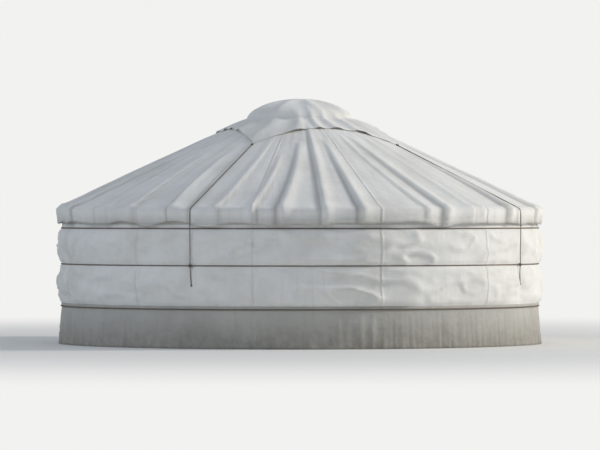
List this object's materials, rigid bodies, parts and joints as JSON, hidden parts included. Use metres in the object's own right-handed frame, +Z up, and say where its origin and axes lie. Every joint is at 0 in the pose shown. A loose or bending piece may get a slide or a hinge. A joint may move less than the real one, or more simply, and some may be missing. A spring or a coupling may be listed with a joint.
{
  "type": "five-panel felt yurt",
  "caption": "Round felt yurt on a folding lattice wall, with a pole roof, bent-wood crown on two columns, white canvas covers and ropes, and a hinged wooden door.",
  "frame": {"origin": "middle of the yurt, on the ground", "axes": "+Z up, -Y out through the doorway, +X to the right of someone who looks at the door from outside"},
  "size_m": [5.8243, 5.8637, 2.9478],
  "materials": {
    "lattice_wood": "matte",
    "crown_wood": "satin",
    "door_paint": "satin",
    "wall_felt": "matte",
    "white_canvas": "matte",
    "grey_canvas": "matte",
    "hair_rope": "matte",
    "iron": "satin"
  },
  "bodies": {
    "yurt": {"lattice_front_right": "lattice_wood", "lattice_right": "lattice_wood", "lattice_back": "lattice_wood", "lattice_left": "lattice_wood", "lattice_front_left": "lattice_wood", "poles_front": "lattice_wood", "poles_right": "lattice_wood", "poles_back": "lattice_wood", "poles_left": "lattice_wood", "crown_ring": "crown_wood", "crown_spokes": "crown_wood", "crown_hub": "crown_wood", "column_right": "crown_wood", "column_left": "crown_wood", "wall_felt_front_right": "wall_felt", "wall_felt_back_right": "wall_felt", "wall_felt_back_left": "wall_felt", "wall_felt_front_left": "wall_felt", "roof_felt_front_right": "wall_felt", "roof_felt_back_right": "wall_felt", "roof_felt_back_left": "wall_felt", "roof_felt_front_left": "wall_felt", "wall_canvas": "white_canvas", "foot_strip": "grey_canvas", "roof_canvas": "white_canvas", "crown_flap": "white_canvas", "girth_rope_top": "hair_rope", "girth_rope_middle": "hair_rope", "girth_rope_foot": "hair_rope", "flap_rope_right": "hair_rope", "flap_rope_back": "hair_rope", "flap_rope_left": "hair_rope", "flap_rope_front": "hair_rope", "jamb_right": "door_paint", "jamb_left": "door_paint", "lintel": "door_paint", "threshold": "door_paint", "hinge_frame_plates": "iron"},
    "door": {"door_frame_of_leaf": "door_paint", "door_panels": "door_paint", "hinge_leaf_plates": "iron", "door_handle": "iron"}
  },
  "joints": [
    {"name": "door_swing", "type": "hinge", "parent": "yurt", "child": "door", "pos_m": [0.38, -2.9152, 0], "axis": [0, 0, 1], "range_deg": [0, 150]}
  ]
}
